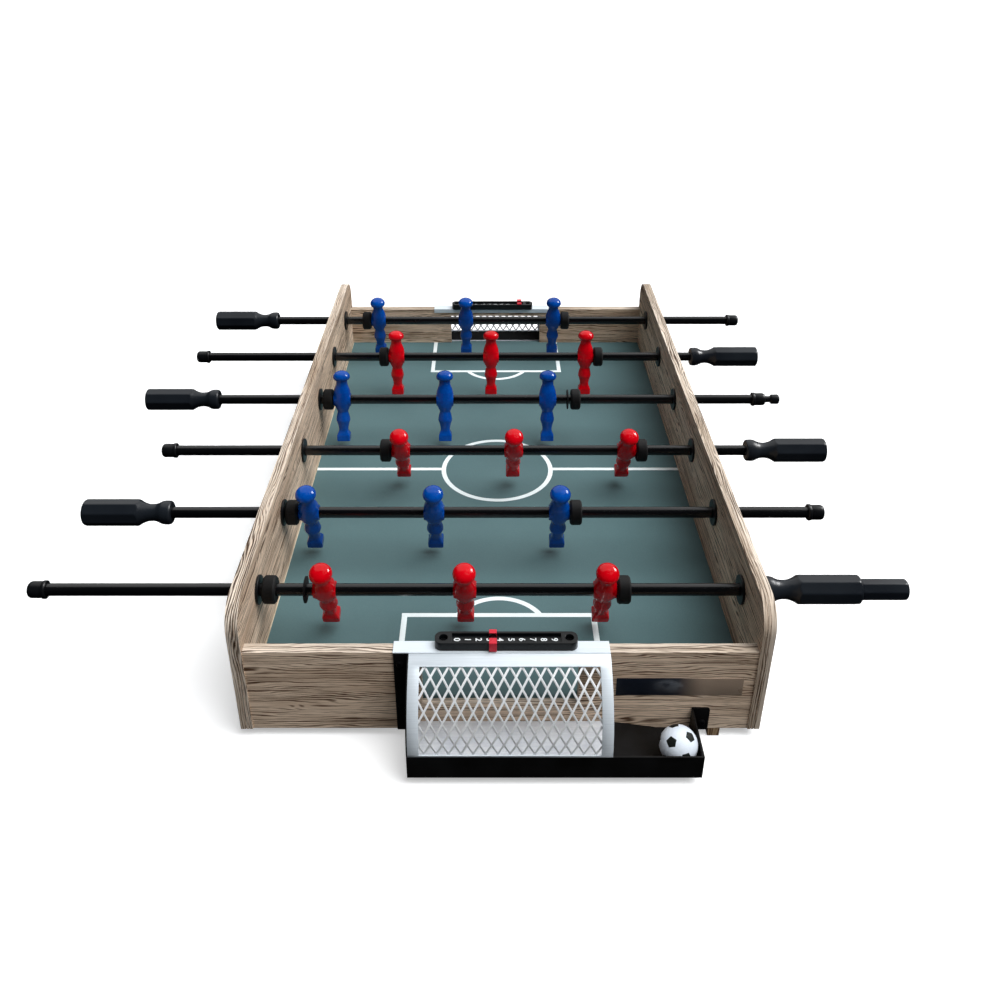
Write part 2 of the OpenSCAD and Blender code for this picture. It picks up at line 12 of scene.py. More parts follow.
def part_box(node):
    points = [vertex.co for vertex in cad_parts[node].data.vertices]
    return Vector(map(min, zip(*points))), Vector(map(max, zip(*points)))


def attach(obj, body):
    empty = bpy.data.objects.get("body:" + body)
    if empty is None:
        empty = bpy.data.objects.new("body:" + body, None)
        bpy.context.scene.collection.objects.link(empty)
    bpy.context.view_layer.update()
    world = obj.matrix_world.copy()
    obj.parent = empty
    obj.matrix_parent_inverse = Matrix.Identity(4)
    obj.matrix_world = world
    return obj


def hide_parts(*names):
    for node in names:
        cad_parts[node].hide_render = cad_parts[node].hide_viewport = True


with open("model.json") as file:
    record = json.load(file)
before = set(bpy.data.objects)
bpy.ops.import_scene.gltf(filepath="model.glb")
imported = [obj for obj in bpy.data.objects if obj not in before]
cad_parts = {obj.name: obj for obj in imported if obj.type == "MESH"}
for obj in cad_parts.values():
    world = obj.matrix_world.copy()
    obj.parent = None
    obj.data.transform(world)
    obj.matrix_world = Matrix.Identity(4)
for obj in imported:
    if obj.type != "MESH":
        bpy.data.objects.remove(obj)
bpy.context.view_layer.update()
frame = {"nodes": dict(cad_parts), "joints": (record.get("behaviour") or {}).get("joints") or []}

MM = 0.001
RODS = (1, 2, 3, 4, 5, 6)
RED_RODS = (1, 3, 5)
ENDS = ("near", "far")
JOINTS = {joint["name"]: joint for joint in frame["joints"]}

PANEL_LOW, PANEL_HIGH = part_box("end_panel_near")
END_Y = -PANEL_LOW.y
INNER_Y = -PANEL_HIGH.y
INNER_X = PANEL_HIGH.x
GROUND_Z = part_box("feet")[0].z


# ---------- mesh helpers ----------

def add_mesh(name, verts, faces, material, sharp=35):
    """Makes an object from points in metres and faces, shaded smooth up to an edge angle in degrees."""
    mesh = bpy.data.meshes.new(name)
    mesh.from_pydata([tuple(v) for v in verts], [], [tuple(f) for f in faces])
    mesh.validate()
    mesh.materials.append(material)
    shade(mesh, sharp)
    piece = bpy.data.objects.new(name, mesh)
    bpy.context.scene.collection.objects.link(piece)
    return piece


def shade(mesh, sharp):
    """Shades a mesh smooth, except at edges sharper than an angle in degrees."""
    mesh.polygons.foreach_set("use_smooth", [True] * len(mesh.polygons))
    mesh.set_sharp_from_angle(angle=math.radians(sharp))
    mesh.update()


def place(piece, body, slot, *nodes):
    """Rides a piece on a body and hides the CAD nodes that it stands for; the slot is not used."""
    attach(piece, body)
    if nodes:
        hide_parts(*nodes)
    return piece


def loft(rings):
    """Points and faces of a closed skin through rings of points, with a fan over each end."""
    count = len(rings[0])
    verts = [tuple(p) for ring in rings for p in ring]
    faces = []
    for i in range(len(rings) - 1):
        for j in range(count):
            k = (j + 1) % count
            faces.append((i * count + j, i * count + k, (i + 1) * count + k, (i + 1) * count + j))
    for ring, flip in ((0, True), (len(rings) - 1, False)):
        centre = len(verts)
        verts.append(tuple(np.mean(np.array(rings[ring]), axis=0)))
        for j in range(count):
            a, b = ring * count + j, ring * count + (j + 1) % count
            faces.append((centre, b, a) if flip else (centre, a, b))
    return verts, faces


def lathe_rings(profile, count=48):
    """Rings about the Z axis through (height, radius) pairs."""
    turns = [2 * math.pi * k / count for k in range(count)]
    return [[(r * math.cos(t), r * math.sin(t), z) for t in turns] for z, r in profile]


def joined(parts):
    """One list of points and faces from several."""
    verts, faces = [], []
    for part_verts, part_faces in parts:
        base = len(verts)
        verts += list(part_verts)
        faces += [tuple(i + base for i in face) for face in part_faces]
    return verts, faces


def moved(part, matrix):
    """A part's points and faces after a transform."""
    return [tuple(matrix @ Vector(v)) for v in part[0]], part[1]


def rounded_box(low, high, bevel, segments=3):
    """Points and faces of a box with rounded edges."""
    mesh = bmesh.new()
    low, high = Vector(low), Vector(high)
    bmesh.ops.create_cube(mesh, size=1)
    for v in mesh.verts:
        v.co = Vector((low[i] + (v.co[i] + 0.5) * (high[i] - low[i]) for i in range(3)))
    bmesh.ops.bevel(mesh, geom=mesh.edges, offset=bevel, segments=segments, profile=0.5, affect="EDGES")
    part = [tuple(v.co) for v in mesh.verts], [tuple(v.index for v in f.verts) for f in mesh.faces]
    mesh.free()
    return part


def soften(node, width, segments=3, angle=40):
    """Welds a CAD node's split corners and rounds its edges with modifiers."""
    obj = frame["nodes"][node]
    weld = obj.modifiers.new("weld", "WELD")
    weld.merge_threshold = 0.01 * MM
    bevel = obj.modifiers.new("bevel", "BEVEL")
    bevel.width = width
    bevel.segments = segments
    bevel.limit_method = "ANGLE"
    bevel.angle_limit = math.radians(angle)
    bevel.harden_normals = True


# ---------- material helpers ----------

def linear(red, green, blue):
    """Scene-linear colour from 0-255 display values."""
    def one(c):
        return ((c / 255 + 0.055) / 1.055) ** 2.4 if c > 10 else c / 255 / 12.92

    return one(red), one(green), one(blue), 1.0


class Shader:
    """A node material under construction, on object coordinates in metres."""

    def __init__(self, name, constants):
        self.material = bpy.data.materials.new(name)
        self.material.use_nodes = True
        self.tree = self.material.node_tree
        self.principled = self.tree.nodes["Principled BSDF"]
        for socket, value in constants.items():
            self.principled.inputs[socket].default_value = value
        self.coordinates = self.tree.nodes.new("ShaderNodeTexCoord")

    def link(self, source, target):
        self.tree.links.new(source, target)

    def node(self, kind, **values):
        made = self.tree.nodes.new(kind)
        for key, value in values.items():
            setattr(made, key, value)
        return made

    def mapped(self, scale, offset):
        """Object coordinates, scaled and shifted."""
        mapping = self.node("ShaderNodeMapping")
        mapping.inputs["Scale"].default_value = scale
        mapping.inputs["Location"].default_value = offset
        self.link(self.coordinates.outputs["Object"], mapping.inputs["Vector"])
        return mapping.outputs["Vector"]

    def noise(self, scale, detail=3, distortion=0, offset=(0, 0, 0), roughness=0.5):
        """A noise value; scale is in cycles per metre, as one number or along X, Y and Z."""
        scale = scale if isinstance(scale, tuple) else (scale, scale, scale)
        noise = self.node("ShaderNodeTexNoise")
        noise.inputs["Scale"].default_value = 1
        noise.inputs["Detail"].default_value = detail
        noise.inputs["Distortion"].default_value = distortion
        noise.inputs["Roughness"].default_value = roughness
        self.link(self.mapped(scale, offset), noise.inputs["Vector"])
        return noise.outputs["Fac"]

    def ramp(self, value, stops):
        """Colours over a value, from (position, colour) stops."""
        ramp = self.node("ShaderNodeValToRGB")
        elements = ramp.color_ramp.elements
        while len(elements) < len(stops):
            elements.new(0.5)
        for element, (position, colour) in zip(elements, stops):
            element.position = position
            element.color = colour
        self.link(value, ramp.inputs["Fac"])
        return ramp.outputs["Color"]

    def math(self, operation, a, b):
        """A math node on two sockets or numbers."""
        made = self.node("ShaderNodeMath", operation=operation)
        for socket, value in zip(made.inputs, (a, b)):
            if isinstance(value, (int, float)):
                socket.default_value = value
            else:
                self.link(value, socket)
        return made.outputs[0]

    def mix(self, kind, factor, a, b):
        """A colour mix of two sockets or colours."""
        made = self.node("ShaderNodeMix", data_type="RGBA", blend_type=kind)
        for socket, value in ((made.inputs[0], factor), (made.inputs[6], a), (made.inputs[7], b)):
            if isinstance(value, (int, float, tuple)):
                socket.default_value = value
            else:
                self.link(value, socket)
        return made.outputs[2]

    def span(self, value, low, high):
        """A value spread between two numbers."""
        made = self.node("ShaderNodeMapRange")
        made.inputs["From Min"].default_value = 0.3
        made.inputs["From Max"].default_value = 0.7
        made.inputs["To Min"].default_value = low
        made.inputs["To Max"].default_value = high
        self.link(value, made.inputs["Value"])
        return made.outputs["Result"]

    def finish(self, colour, roughness, height, depth):
        """Connects colour, roughness and a bump height whose depth is in metres."""
        self.link(colour, self.principled.inputs["Base Color"])
        self.link(roughness, self.principled.inputs["Roughness"])
        bump = self.node("ShaderNodeBump")
        bump.inputs["Strength"].default_value = 1
        bump.inputs["Distance"].default_value = depth
        self.link(height, bump.inputs["Height"])
        self.link(bump.outputs["Normal"], self.principled.inputs["Normal"])
        return self.material


def finish_coat(name, dark, light, roughness, grain, depth, patch=25, **constants):
    """A plain finish with patchy colour and roughness and a fine grain in relief.

    Grain and patch are in cycles per metre."""
    shader = Shader(name, {key.replace("_", " "): value for key, value in constants.items()})
    patches = shader.noise(patch, detail=4)
    fine = shader.noise(grain, detail=2, offset=(3.1, 1.7, 5.3))
    tone = shader.math("ADD", shader.math("MULTIPLY", patches, 0.7), shader.math("MULTIPLY", fine, 0.3))
    colour = shader.ramp(tone, [(0.35, dark), (0.65, light)])
    return shader.finish(colour, shader.span(patches, *roughness), fine, depth)


FACE_PITCH, EDGE_PITCH = 1.9 * MM, 1.7 * MM


def wood(name, along, palette, seed, edge_palette=None, edge_axis=None):
    """Printed wood grain along an axis, 0 for X or 1 for Y or 2 for Z.

    The board's narrow edges, whose normals aren't along the edge axis, take their own palette."""
    shader = Shader(name, {"Specular IOR Level": 0.25})
    offset = (seed * 1.37, seed * 2.11, seed * 0.73)
    place_of = shader.node("ShaderNodeSeparateXYZ")
    shader.link(shader.coordinates.outputs["Object"], place_of.inputs[0])

    def grain(colours, scale, across, pitch, speckle):
        """Wavy dark growth lines a pitch apart in metres, and short fibres, over a soft tone."""
        dark, mid, light = colours
        sweep = shader.math("MULTIPLY", shader.noise(scale(10, 50), detail=2, offset=offset), 11)
        ripple = shader.math("MULTIPLY", shader.noise(scale(34, 300), detail=3, offset=offset), 1.5)
        bend = shader.math("ADD", sweep, ripple)
        turns = shader.math("ADD", shader.math("MULTIPLY", across, 1 / pitch), bend)
        rings = shader.math("SINE", shader.math("MULTIPLY", turns, 2 * math.pi), 0)
        strength = shader.noise(scale(11, 330), detail=5, offset=offset, roughness=0.6)
        fibres = shader.noise(scale(50, speckle), detail=3, offset=offset, roughness=0.7)
        worn = shader.math("ADD", shader.math("MULTIPLY", strength, 0.75),
                           shader.math("MULTIPLY", fibres, 0.25))
        lined = shader.math("ADD", shader.math("MULTIPLY", rings, 0.10), worn)
        veins = shader.ramp(lined, [(0.48, (0, 0, 0, 1)), (0.56, (0.55, 0.55, 0.55, 1)),
                                    (0.66, (1, 1, 1, 1))])
        tone = shader.noise(scale(5, 50), detail=4, offset=offset, roughness=0.6)
        base = shader.ramp(tone, [(0.34, mid), (0.62, light)])
        flecks = shader.ramp(fibres, [(0.32, (0.72, 0.70, 0.68, 1)), (0.58, (1.05, 1.05, 1.05, 1))])
        return shader.mix("MIX", veins, shader.mix("MULTIPLY", 0.9, base, flecks), dark), veins

    def face_scale(with_grain, across):
        return tuple(with_grain if axis == along else across for axis in range(3))

    sides = [place_of.outputs[axis] for axis in range(3) if axis != along]
    colour, veins = grain(palette, face_scale, shader.math("ADD", sides[0], sides[1]), FACE_PITCH, 1500)
    if edge_palette:
        def edge_scale(with_grain, across):
            return tuple(across if axis == edge_axis else with_grain for axis in range(3))

        across_edge = place_of.outputs[edge_axis]
        edge_colour, edge_veins = grain(edge_palette, edge_scale, across_edge, EDGE_PITCH, 1700)
        normal = shader.node("ShaderNodeSeparateXYZ")
        shader.link(shader.coordinates.outputs["Normal"], normal.inputs[0])
        on_edge = shader.math("LESS_THAN", shader.math("ABSOLUTE", normal.outputs[edge_axis], 0), 0.5)
        colour = shader.mix("MIX", on_edge, colour, edge_colour)
        veins = shader.mix("MIX", on_edge, veins, edge_veins)
    depth = shader.math("MULTIPLY", veins, -1)
    return shader.finish(colour, shader.span(veins, 0.55, 0.66), depth, 0.08 * MM)


def brushed(name, dark, light, along, roughness, metallic, crumple=0.0, dents=18):
    """Brushed sheet metal with fine scratches along an axis, and dents of a depth in millimetres."""
    shader = Shader(name, {"Metallic": metallic, "Specular IOR Level": 0.5})
    scale = tuple(30 if axis == along else 2600 for axis in range(3))
    scratches = shader.noise(scale, detail=3)
    cloud = shader.noise(dents, detail=4, offset=(2, 5, 1))
    tone = shader.math("ADD", shader.math("MULTIPLY", scratches, 0.5), shader.math("MULTIPLY", cloud, 0.5))
    colour = shader.ramp(tone, [(0.35, dark), (0.65, light)])
    dented = shader.math("MULTIPLY", cloud, crumple)
    height = shader.math("ADD", shader.math("MULTIPLY", scratches, 0.02), dented)
    return shader.finish(colour, shader.span(scratches, *roughness), height, 1 * MM)


def banded(name, first, second, mask_of, **constants):
    """A satin plastic in two colours; mask_of picks the second one from object coordinates."""
    shader = Shader(name, {key.replace("_", " "): value for key, value in constants.items()})
    place_of = shader.node("ShaderNodeSeparateXYZ")
    shader.link(shader.coordinates.outputs["Object"], place_of.inputs[0])
    patches = shader.noise(60, detail=4)
    tint = shader.ramp(patches, [(0.3, (0.9, 0.9, 0.9, 1)), (0.7, (1.05, 1.05, 1.05, 1))])
    colour = shader.mix("MIX", mask_of(shader, place_of.outputs), first, second)
    tinted = shader.mix("MULTIPLY", 1.0, colour, tint)
    return shader.finish(tinted, shader.span(patches, 0.26, 0.4), patches, 0.01 * MM)


# ---------- materials ----------

FACE_WOOD = (linear(92, 68, 50), linear(206, 178, 152), linear(252, 228, 203))
EDGE_WOOD = (linear(70, 52, 38), linear(182, 163, 142), linear(246, 232, 216))
PANEL_WOOD = wood("panel_wood", 1, FACE_WOOD, 1.0, EDGE_WOOD, 0)
END_WOOD = wood("end_wood", 0, FACE_WOOD, 5.0, EDGE_WOOD, 1)
FOOT_WOOD = wood("foot_wood", 2, (linear(92, 66, 46), linear(150, 122, 92), linear(176, 150, 118)), 9.0)
# Pale wood tone for the painted highlight along the board's left edge.
EDGE_HIGHLIGHT_WOOD = wood("painted_edge_highlight", 1, (linear(150, 136, 112), linear(200, 188, 164), linear(222, 212, 190)),
                 12.0)
FIELD = finish_coat("field_print", linear(78, 103, 106), linear(86, 113, 116), (0.6, 0.72), 900,
                    0.015 * MM, patch=9, Specular_IOR_Level=0.2)
LINE_PAINT = finish_coat("line_paint", linear(226, 238, 240), linear(240, 249, 250), (0.5, 0.62), 900,
                         0.01 * MM)
ROD_BLACK = finish_coat("rod_black", linear(5, 6, 8), linear(10, 11, 13), (0.22, 0.3), (700, 2600, 2600),
                        0.006 * MM, patch=(8, 60, 60), Specular_IOR_Level=0.68)
HANDLE_BLACK = finish_coat("handle_black", linear(20, 24, 30), linear(28, 33, 39), (0.28, 0.36), 1500,
                           0.012 * MM, Specular_IOR_Level=0.4)
CAP_BLACK = finish_coat("cap_black", linear(9, 10, 12), linear(17, 19, 22), (0.3, 0.4), 1300, 0.012 * MM,
                        Specular_IOR_Level=0.35)
RUBBER = finish_coat("bumper_rubber", linear(8, 9, 10), linear(20, 20, 21), (0.62, 0.78), 1100, 0.06 * MM,
                     patch=120, Specular_IOR_Level=0.3)
PLASTIC_BLACK = finish_coat("black_plastic", linear(5, 7, 9), linear(11, 14, 17), (0.3, 0.42), 1400,
                            0.012 * MM, Specular_IOR_Level=0.34)
TRAY_BLACK = finish_coat("tray_enamel", linear(12, 11, 10), linear(24, 24, 25), (0.36, 0.52), 1000,
                         0.02 * MM, patch=40, Specular_IOR_Level=0.25)
SCREW_BLACK = finish_coat("screw_black", linear(10, 10, 11), linear(30, 30, 32), (0.3, 0.45), 1800,
                          0.01 * MM, Metallic=0.5)
RED_PLASTIC = finish_coat("red_plastic", linear(192, 0, 14), linear(214, 2, 22), (0.12, 0.19), 500,
                          0.008 * MM, Specular_IOR_Level=0.34)
BLUE_PLASTIC = finish_coat("blue_plastic", linear(0, 58, 140), linear(0, 78, 172), (0.12, 0.19), 500,
                           0.008 * MM, Specular_IOR_Level=0.34)
BALL_WHITE = finish_coat("ball_white", linear(214, 226, 238), linear(230, 238, 248), (0.34, 0.46), 700,
                         0.012 * MM)
BALL_BLACK = finish_coat("ball_black", linear(10, 14, 12), linear(26, 30, 28), (0.4, 0.55), 900,
                         0.015 * MM, Specular_IOR_Level=0.3)
HOOD_SILVER = brushed("hood_silver", linear(212, 222, 230), linear(232, 241, 248), 0, (0.3, 0.42), 0.2)
FLOOR_SILVER = brushed("tray_silver", linear(214, 220, 230), linear(246, 250, 254), 0, (0.3, 0.5), 0.25,
                       0.3, 60)
NET_SILVER = finish_coat("net_silver", linear(226, 230, 233), linear(250, 252, 254), (0.3, 0.42), 900,
                         0.01 * MM, Metallic=0.25)
DIGIT_WHITE = finish_coat("digit_white", linear(222, 228, 230), linear(242, 246, 247), (0.4, 0.5), 900,
                          0.005 * MM)
SCORER_Y = (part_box("near_scorer")[0].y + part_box("near_scorer")[1].y) / 2


def in_the_window(shader, place_of):
    """True along the middle of a scorer, where the marker's bridge gets a dark red painted shade for the
    shade it lies in.
    """
    off = shader.math("SUBTRACT", shader.math("ABSOLUTE", place_of[1], 0), -SCORER_Y)
    return shader.math("LESS_THAN", shader.math("ABSOLUTE", off, 0), 2.3 * MM)


def toward_the_corner(shader, place_of):
    """Rises along the name plate, whose right part is clearer than its left."""
    return shader.ramp(place_of[0], [(0.128, (0, 0, 0, 1)), (0.146, (1, 1, 1, 1))])


# The marker's second, dark red colour is painted shade on its bridge in the scorer's window.
MARKER_RED = banded("marker_red", linear(206, 30, 52), linear(40, 10, 14), in_the_window,
                    Specular_IOR_Level=0.4)
PLATE_SMOKE = banded("plate_smoke", linear(24, 29, 40), linear(150, 132, 116), toward_the_corner,
                     Coat_Weight=0.4, Coat_Roughness=0.06)


def dress(material, *nodes):
    """Gives CAD nodes their material."""
    for name in nodes:
        mesh = frame["nodes"][name].data
        mesh.materials.clear()
        mesh.materials.append(material)


# ---------- cabinet ----------

def make_cabinet():
    dress(PANEL_WOOD, "side_panel_left", "side_panel_right")
    dress(END_WOOD, "end_panel_near", "end_panel_far")
    dress(FOOT_WOOD, "feet")
    dress(FIELD, "playfield")
    dress(PLASTIC_BLACK, "rod_bushings", "bushing_rings")
    for node in ("end_panel_near", "end_panel_far"):
        soften(node, 0.45 * MM)
    soften("feet", 0.5 * MM)
    for node in ("rod_bushings", "bushing_rings"):
        soften(node, 0.5 * MM)


def strip(x0, x1, y0, y1, z, height):
    """A thin printed or laid strip with rounded edges."""
    return rounded_box((x0, y0, z - height), (x1, y1, z + height), height * 0.9, 2)


def arc_strip(centre_y, inner, outer, start, stop, z, height, steps=72):
    """A thin flat band along an arc about a point on the middle line; angles in degrees."""
    verts, faces = [], []
    for k in range(steps + 1):
        t = math.radians(start + (stop - start) * k / steps)
        for r, h in ((inner, -height), (outer, -height), (outer, height * 0.6), ((inner + outer) / 2, height),
                     (inner, height * 0.6)):
            verts.append((r * math.cos(t), centre_y + r * math.sin(t), z + h))
    for k in range(steps):
        for j in range(5):
            a, b = k * 5 + j, k * 5 + (j + 1) % 5
            faces.append((a, b, b + 5, a + 5))
    if abs(stop - start) < 360:
        faces += [(0, 4, 3, 2, 1), tuple(steps * 5 + j for j in range(5))]
    return verts, faces


def make_pitch_lines():
    """The printed lines of the pitch: middle line, centre circle, and a box with its arc at each end."""
    half, wide, height = 2.25 * MM, 4.5 * MM, 0.06 * MM
    circle, box_x, box_y, arc_reach, arc_r = 56.5 * MM, 79.3 * MM, 212.1 * MM, 192.1 * MM, 40.6 * MM
    arc_y = arc_reach + arc_r
    sweep = math.degrees(math.acos((arc_y - box_y - 0.3 * MM) / arc_r))
    parts = [arc_strip(0, circle - wide, circle, 0, 360, 0, height, 128)]
    for side in (-1, 1):
        ends = sorted((side * (circle - half), side * (INNER_X - 0.2 * MM)))
        parts.append(strip(ends[0], ends[1], -half, half, 0, height * 0.9))
    for end in (-1, 1):
        ys = sorted((end * box_y, end * (box_y + wide)))
        parts.append(strip(-box_x, box_x, ys[0], ys[1], 0, height))
        for side in (-1, 1):
            xs = sorted((side * box_x, side * (box_x - wide)))
            ys = sorted((end * (box_y + wide * 0.8), end * (INNER_Y - 0.2 * MM)))
            parts.append(strip(xs[0], xs[1], ys[0], ys[1], 0, height * 0.9))
        middle = -90 if end > 0 else 90
        parts.append(arc_strip(end * arc_y, arc_r - wide, arc_r, middle - sweep, middle + sweep, 0, height))
    verts, faces = joined(parts)
    place(add_mesh("pitch_lines", verts, faces, LINE_PAINT), "table", "field_board")


def make_field_edge():
    """The playing board's edge beside the left panel, drawn as a pale line that is a painted highlight; the
    right edge lies in shadow and gets none.
    """
    width, height = 0.9 * MM, 0.25 * MM
    verts, faces = strip(-INNER_X + 0.05 * MM, -INNER_X + width, -INNER_Y + MM, INNER_Y - MM, 0, height)
    place(add_mesh("edge_highlight_line", verts, faces, EDGE_HIGHLIGHT_WOOD), "table", "side_wood")


def make_name_plate():
    """A plain glossy plate with nothing on it, on the near end panel."""
    low = (84 * MM, -END_Y - 0.5 * MM, 5.5 * MM)
    high = (176 * MM, -END_Y + 0.1 * MM, 22 * MM)
    verts, faces = rounded_box(low, high, 0.28 * MM)
    place(add_mesh("blank_plate", verts, faces, PLATE_SMOKE), "table", "black_plastic")


def screw_part(head_r, head_h):
    """A pan-head screw's head with a cross recess; its seat lies at Z = 0 and its top points up."""
    profile = [(head_h * h, head_r * r) for h, r in ((0, 0.96), (0.25, 1), (0.6, 0.9), (0.85, 0.68))]
    rings = lathe_rings(profile, 40)
    verts, faces = loft(rings + lathe_rings([(head_h * (0.93 + 0.07 * (1 - s * s)), head_r * 0.6 * s)
                                             for s in (0.95, 0.8, 0.65, 0.5, 0.35, 0.2, 0.08)], 40))
    arm, slot = head_r * 0.5, head_r * 0.13
    cut = []
    for x, y, z in verts:
        inside = z > head_h * 0.8 and ((abs(x) < slot and abs(y) < arm) or (abs(y) < slot and abs(x) < arm))
        cut.append((x, y, z - head_h * 0.45 if inside else z))
    return cut, faces


def cad_islands(node):
    """The separate solids of a CAD node as (lowest corner, highest corner) pairs."""
    mesh = bmesh.new()
    mesh.from_mesh(frame["nodes"][node].data)
    bmesh.ops.remove_doubles(mesh, verts=mesh.verts, dist=0.01 * MM)
    seen, islands = set(), []
    for start in mesh.verts:
        if start in seen:
            continue
        group, todo = [], [start]
        seen.add(start)
        while todo:
            v = todo.pop()
            group.append(v.co.copy())
            for edge in v.link_edges:
                other = edge.other_vert(v)
                if other not in seen:
                    seen.add(other)
                    todo.append(other)
        corners = np.array(group)
        islands.append((Vector(corners.min(0)), Vector(corners.max(0))))
    mesh.free()
    return sorted(islands, key=lambda pair: tuple(round(c, 4) for c in pair[0]))


SHANK_R = 1.4 * MM


def make_screws(node, head_h):
    """Detailed screws where a CAD node has plain ones: each solid's longest side is the screw's axis."""
    parts = []
    for low, high in cad_islands(node):
        size, middle = high - low, (low + high) / 2
        axis = max(range(3), key=lambda i: size[i])
        outward = Vector((0, 0, 0))
        outward[axis] = 1 if middle[axis] > 0 else -1
        head_r = min(size[i] for i in range(3) if i != axis) / 2
        tip = high[axis] if outward[axis] > 0 else low[axis]
        seat = middle.copy()
        seat[axis] = tip - outward[axis] * head_h
        turn = outward.to_track_quat("Z", "Y").to_matrix().to_4x4()
        head = moved(screw_part(head_r, head_h), Matrix.Translation(seat) @ turn)
        length = size[axis] - head_h
        shank = loft(lathe_rings([(-length, SHANK_R - 0.8 * MM), (-length + 1.5 * MM, SHANK_R),
                                  (0.1 * MM, SHANK_R)], 20))
        parts += [head, moved(shank, Matrix.Translation(seat) @ turn)]
    verts, faces = joined(parts)
    place(add_mesh(node + "_detail", verts, faces, SCREW_BLACK), "table", "black_screws", node)


# ---------- goals ----------

HOOD_R = 57.3 * MM
SHEET = 1 * MM
WINDOW_LOW, WINDOW_TOP = 1.5, 65


def hood_centre():
    """Outward distance from the end panel, and height, of the hood's centre of curvature."""
    low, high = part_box("near_goal_hood")
    return (-low.y - END_Y) - HOOD_R, low.z


STRAND_SECTION = ((-1, -0.4), (-0.6, -1), (0.6, -1), (1, -0.4), (1, 0.4), (0.6, 1), (-0.6, 1), (-1, 0.4))


def make_net(end):
    """Crossing flat strands that follow the hood's curve behind its window."""
    low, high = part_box("near_goal_net")
    edge = 1.2 * MM
    x0, x1 = low.x + edge, high.x - edge
    centre_d, centre_z = hood_centre()
    radius = HOOD_R - SHEET - 0.75 * MM
    s0, s1 = math.radians(WINDOW_LOW - 0.6) * radius, math.radians(WINDOW_TOP + 1.6) * radius
    pitch = (x1 - x0) / 15
    rise = (s1 - s0) / 4.1
    half_w, half_t, steps = 0.78 * MM, 0.3 * MM, 42
    parts = []
    for lean in (-1, 1):
        lift = 0.22 * MM * lean
        for k in range(-5, 21):
            points = []
            for i in range(steps + 1):
                s = s0 + (s1 - s0) * i / steps
                x = x0 + pitch * (k + 0.5) + lean * (s - (s0 + s1) / 2) * pitch / rise
                if x0 <= x <= x1:
                    points.append((x, s))
            if len(points) < 3:
                continue
            across = Vector((rise, -lean * pitch)).normalized()
            rings = []
            for x, s in points:
                ring = []
                for u, v in STRAND_SECTION:
                    along_x, along_s = x + across.x * u * half_w, s + across.y * u * half_w
                    r = radius + lift + v * half_t - lean * u * 0.16 * MM
                    angle = along_s / radius
                    outward = centre_d + r * math.cos(angle)
                    ring.append((along_x, -END_Y - outward, centre_z + r * math.sin(angle)))
                rings.append(ring)
            parts.append(loft(rings))
    verts, faces = joined(parts)
    if end == "far":
        verts = [(-x, -y, z) for x, y, z in verts]
    place(add_mesh(end + "_goal_mesh", verts, faces, NET_SILVER), "table", "net_wire", end + "_goal_net")


def make_goals():
    for end in ENDS:
        dress(HOOD_SILVER, end + "_goal_hood")
        dress(TRAY_BLACK, end + "_ball_tray")
        dress(FLOOR_SILVER, end + "_goal_floor")
        soften(end + "_goal_hood", 0.3 * MM, 2)
        soften(end + "_ball_tray", 0.45 * MM, 3)
        make_net(end)
    make_screws("goal_screws", 1.6 * MM)
    make_screws("panel_screws", 1.8 * MM)


# ---------- ball ----------

def ball_turn():
    """Turns the icosahedron so that two neighbouring patches face the near left and the upper right."""
    first = Vector((-0.518, -0.4645, 0.719)).normalized()
    second = Vector((0.494, -0.2225, 0.840)).normalized()
    third = first.cross(second).normalized()
    return first, (second - first * first.dot(second)).normalized(), third


def patch_centres():
    """The twelve directions of the black patches."""
    ring = math.atan(2)
    flat = [Vector((0, 0, 1))]
    for k in range(5):
        t = math.radians(72 * k)
        flat.append(Vector((math.sin(ring) * math.cos(t), math.sin(ring) * math.sin(t), math.cos(ring))))
    flat += [-v for v in flat]
    first, beside, third = ball_turn()
    return [(v.z * first + v.x * beside + v.y * third).normalized() for v in flat]


